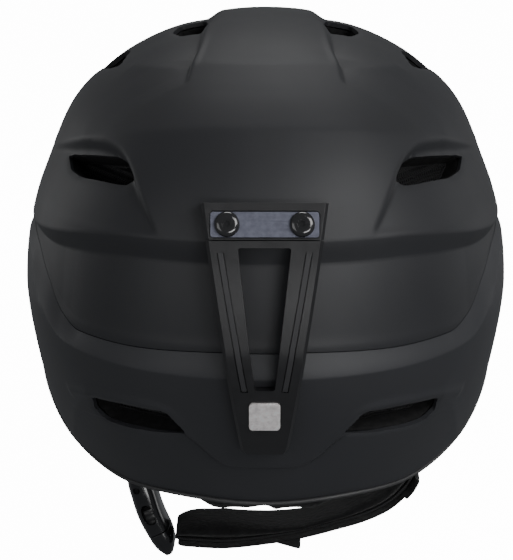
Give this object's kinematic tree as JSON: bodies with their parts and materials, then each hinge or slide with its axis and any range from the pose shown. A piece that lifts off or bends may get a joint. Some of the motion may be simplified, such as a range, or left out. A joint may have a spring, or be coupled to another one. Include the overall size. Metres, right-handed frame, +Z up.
{
  "type": "ski helmet",
  "caption": "Ski helmet with a two-piece shell, vents, hinged goggle-strap retainer, ear pads, dial fit and a buckled chin strap.",
  "frame": {"origin": "centre of the headband plane, where the head seats in the liner", "axes": "+Z up, +Y towards the front, +X towards the wearer's right"},
  "size_m": [0.229, 0.2866, 0.281],
  "materials": {
    "upper_shell_plastic": "soft-touch matte",
    "lower_shell_plastic": "soft-touch matte",
    "foam": "moulded bead foam",
    "trim_rubber": "satin",
    "retainer_rubber": "satin",
    "plate_metal": "satin blue-grey",
    "screw_steel": "black oxide, satin",
    "badge_metal": "polished",
    "fleece": "short-pile fleece",
    "webbing": "woven",
    "hard_plastic": "semi-gloss",
    "vent_mesh": "open mesh"
  },
  "bodies": {
    "helmet": {"upper_shell": "upper_shell_plastic", "lower_shell": "lower_shell_plastic", "foam_liner": "foam", "rim_trim": "trim_rubber", "crown_pad": "fleece", "front_pad": "fleece", "rear_pad": "fleece", "side_pad_l": "fleece", "side_pad_r": "fleece", "nape_pad": "fleece", "fit_band_l": "hard_plastic", "fit_band_r": "hard_plastic", "retainer_bar": "retainer_rubber", "retainer_plate": "plate_metal", "retainer_screw_l": "screw_steel", "retainer_screw_r": "screw_steel", "snap_stud": "screw_steel", "strap_leg_front_l": "webbing", "strap_leg_front_r": "webbing", "strap_leg_rear_l": "webbing", "strap_leg_rear_r": "webbing", "yoke_l": "hard_plastic", "yoke_r": "hard_plastic", "yoke_rivet_l": "screw_steel", "yoke_rivet_r": "screw_steel", "vent_mesh_rear_upper_l": "vent_mesh", "vent_mesh_rear_upper_r": "vent_mesh", "vent_mesh_rear_lower_l": "vent_mesh", "vent_mesh_rear_lower_r": "vent_mesh", "vent_mesh_top_l": "vent_mesh", "vent_mesh_top_r": "vent_mesh", "vent_mesh_shoulder_l": "vent_mesh", "vent_mesh_shoulder_r": "vent_mesh"},
    "retainer": {"retainer_frame": "retainer_rubber", "retainer_inlay_l": "trim_rubber", "retainer_inlay_r": "trim_rubber", "retainer_badge": "badge_metal"},
    "cradle": {"fit_cradle": "hard_plastic", "fit_dial_housing": "hard_plastic"},
    "dial": {"fit_dial": "hard_plastic"},
    "ear_flap_l": {"ear_pad_l": "fleece", "ear_pad_clip_l": "hard_plastic"},
    "ear_flap_r": {"ear_pad_r": "fleece", "ear_pad_clip_r": "hard_plastic"},
    "right_link": {"strap_link_r": "hard_plastic"},
    "chin_strap": {"ring_r": "screw_steel", "chin_webbing": "webbing", "chin_pad": "fleece", "chin_pad_lining": "fleece", "strap_sleeve": "fleece", "strap_sleeve_lining": "fleece", "strap_cuff": "fleece", "strap_tail": "webbing", "buckle_tongue": "hard_plastic"},
    "prong_front": {"buckle_prong_front": "hard_plastic"},
    "prong_rear": {"buckle_prong_rear": "hard_plastic"},
    "buckle_side": {"strap_link_l": "hard_plastic", "ring_l": "screw_steel", "left_webbing": "webbing", "buckle_housing": "hard_plastic"}
  },
  "joints": [
    {"name": "goggle_retainer", "type": "hinge", "parent": "helmet", "child": "retainer", "pos_m": [0, -0.13919, 0.0494], "axis": [-1, 0, 0], "range_deg": [0, 70]},
    {"name": "dial_turn", "type": "hinge", "parent": "cradle", "child": "dial", "pos_m": [0, -0.0668, -0.0838], "axis": [0, 1, 0], "range_deg": [0, 545]},
    {"name": "cradle_slide", "type": "slide", "parent": "helmet", "child": "cradle", "axis": [0, 1, 0], "range_m": [0, 0.012]},
    {"name": "ear_flap_l_fold", "type": "hinge", "parent": "helmet", "child": "ear_flap_l", "pos_m": [-0.0762, 0.012, -0.039], "axis": [0, -1, 0], "range_deg": [0, 14], "stiffness_Nm_per_rad": 0.25},
    {"name": "ear_flap_r_fold", "type": "hinge", "parent": "helmet", "child": "ear_flap_r", "pos_m": [0.0762, 0.012, -0.039], "axis": [0, 1, 0], "range_deg": [0, 14], "stiffness_Nm_per_rad": 0.25},
    {"name": "chin_swing", "type": "hinge", "parent": "helmet", "child": "right_link", "pos_m": [0.0835, 0.03, -0.0945], "axis": [1, 0, 0], "range_deg": [-30, 30]},
    {"name": "chin_swing_left", "type": "hinge", "parent": "helmet", "child": "buckle_side", "pos_m": [-0.0835, 0.03, -0.0945], "axis": [1, 0, 0], "range_deg": [-30, 30]},
    {"name": "strap_open", "type": "hinge", "parent": "right_link", "child": "chin_strap", "pos_m": [0.0809, 0.03, -0.1021], "axis": [0, -1, 0], "range_deg": [0, 75]},
    {"name": "prong_front_squeeze", "type": "hinge", "parent": "chin_strap", "child": "prong_front", "pos_m": [-0.0542, 0.0382, -0.1422], "axis": [0.901, 0, 0.4338], "range_deg": [0, 4], "stiffness_Nm_per_rad": 0.3},
    {"name": "prong_rear_squeeze", "type": "hinge", "parent": "chin_strap", "child": "prong_rear", "pos_m": [-0.0542, 0.0218, -0.1422], "axis": [-0.901, 0, -0.4338], "range_deg": [0, 4]}
  ],
  "couplings": [
    {"joint": "dial_turn", "follows": "cradle_slide", "rad_per_m": 785.4},
    {"joint": "chin_swing_left", "follows": "chin_swing", "ratio": 1},
    {"joint": "prong_rear_squeeze", "follows": "prong_front_squeeze", "ratio": 1}
  ]
}
